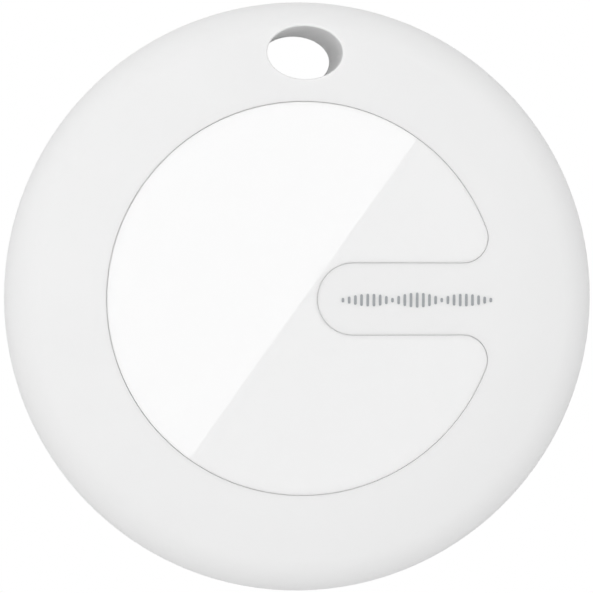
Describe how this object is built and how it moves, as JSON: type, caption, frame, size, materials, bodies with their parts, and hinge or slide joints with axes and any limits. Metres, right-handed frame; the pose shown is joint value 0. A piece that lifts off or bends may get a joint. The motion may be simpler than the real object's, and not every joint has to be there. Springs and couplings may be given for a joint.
{
  "type": "bluetooth tracker tag",
  "caption": "Round white key-finder tag: flat face with a glossy C-shaped press panel round a fixed tongue, an oval keyring hole near the edge, and a coin-slot battery door in the back.",
  "frame": {"origin": "centre of the flat back that the tag rests on", "axes": "+Z out of the face, +Y from the centre to the keyring hole, +X from the centre to the root of the tongue"},
  "size_m": [0.038, 0.038, 0.008],
  "materials": {
    "case_plastic": "satin moulded white ABS",
    "panel_plastic": "high-gloss moulded white polycarbonate",
    "seal_rubber": "soft black silicone",
    "adhesive_tape": "double-sided adhesive film",
    "sounder_brass": "rolled brass sheet",
    "piezo_ceramic": "silvered piezo ceramic",
    "contact_bronze": "nickel-plated spring bronze",
    "cell_steel": "nickel-plated steel",
    "cell_gasket_plastic": "moulded polypropylene",
    "cathode_pellet": "pressed black powder",
    "separator_fleece": "non-woven fleece",
    "anode_metal": "soft rolled lithium foil",
    "holder_plastic": "black glass-filled nylon",
    "board_laminate": "green solder mask on glass epoxy",
    "screw_steel": "zinc-plated steel",
    "switch_plastic": "black moulded polyamide",
    "switch_steel": "rolled stainless steel",
    "chip_moulding": "black epoxy moulding compound",
    "crystal_can": "plated metal lid",
    "capacitor_ceramic": "tan fired ceramic",
    "resistor_glaze": "black glaze on alumina",
    "inductor_ferrite": "grey ferrite",
    "antenna_steel": "tin-plated steel strip"
  },
  "bodies": {
    "case": {"front_shell": "case_plastic", "rear_shell": "case_plastic", "case_gasket": "seal_rubber", "button_gasket": "seal_rubber", "sounder_contacts": "contact_bronze", "positive_contact": "contact_bronze", "negative_contact": "contact_bronze", "battery_can": "cell_steel", "battery_cap": "cell_steel", "battery_gasket": "cell_gasket_plastic", "battery_cathode": "cathode_pellet", "battery_separator": "separator_fleece", "battery_anode": "anode_metal", "battery_holder": "holder_plastic", "circuit_board": "board_laminate", "board_screws": "screw_steel", "switch_base": "switch_plastic", "switch_dome": "switch_steel", "switch_cover": "switch_steel", "bluetooth_chip": "chip_moulding", "motion_sensor": "chip_moulding", "main_crystal": "crystal_can", "clock_crystal": "crystal_can", "capacitors": "capacitor_ceramic", "resistors": "resistor_glaze", "inductors": "inductor_ferrite", "antenna_strip": "antenna_steel"},
    "press_button": {"face_panel": "panel_plastic", "press_pad": "seal_rubber", "sounder_adhesive": "adhesive_tape", "sounder_plate": "sounder_brass", "sounder_ceramic": "piezo_ceramic"},
    "switch_stem": {"switch_plunger": "switch_plastic"},
    "door": {"battery_door": "case_plastic", "door_seal": "seal_rubber"}
  },
  "joints": [
    {"name": "face_press", "type": "slide", "parent": "case", "child": "press_button", "axis": [0, 0, -1], "range_m": [0, 0.0002], "stiffness_N_per_m": 300, "springref_m": -0.00003, "deforming": ["button_gasket", "sounder_contacts"]},
    {"name": "switch_press", "type": "slide", "parent": "case", "child": "switch_stem", "axis": [0, 0, -1], "range_m": [0, 0.0002], "deforming": ["switch_dome"]},
    {"name": "door_twist", "type": "hinge", "parent": "case", "child": "door", "pos_m": [0, 0, 0], "axis": [0, 0, -1], "range_deg": [0, 30]}
  ],
  "couplings": [
    {"joint": "switch_press", "follows": "face_press", "ratio": 1}
  ]
}
